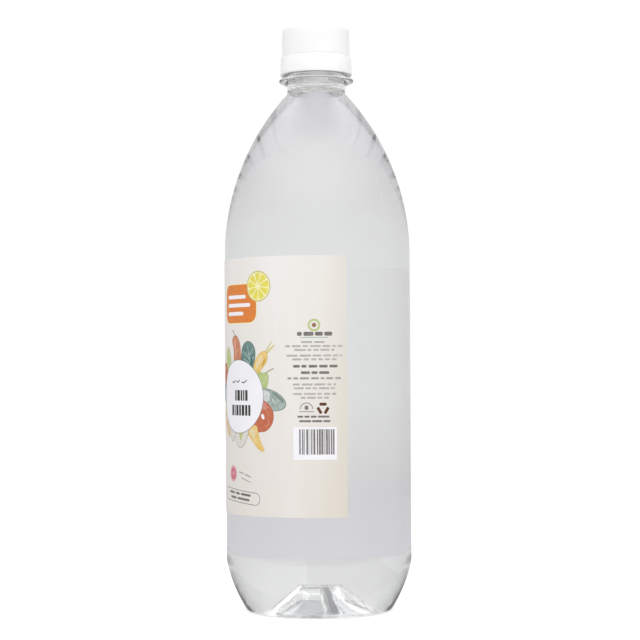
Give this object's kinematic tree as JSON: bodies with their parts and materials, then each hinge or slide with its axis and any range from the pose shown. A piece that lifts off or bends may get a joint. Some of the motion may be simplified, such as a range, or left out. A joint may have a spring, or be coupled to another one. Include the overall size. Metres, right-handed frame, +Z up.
{
  "type": "vinegar bottle",
  "caption": "Clear plastic bottle filled with clear vinegar, with a long tapering shoulder, a ribbed push-up base, a white tamper-evident cap and a cream wrap label.",
  "frame": {"origin": "centre of the standing ring, in the plane that the bottle stands on", "axes": "+Z up along the bottle's axis, towards the cap; -Y out through the middle of the label; +X to the right of a viewer who faces the label"},
  "size_m": [0.0822, 0.0824, 0.2581],
  "materials": {
    "clear_plastic": "clear blown PET, smooth and glossy",
    "vinegar": "clear colourless liquid",
    "white_plastic": "white moulded polyethylene, semi-matt",
    "label_paper": null
  },
  "bodies": {
    "root": {"bottle": "clear_plastic", "vinegar": "vinegar", "cap": "white_plastic", "label": "label_paper"}
  },
  "joints": []
}
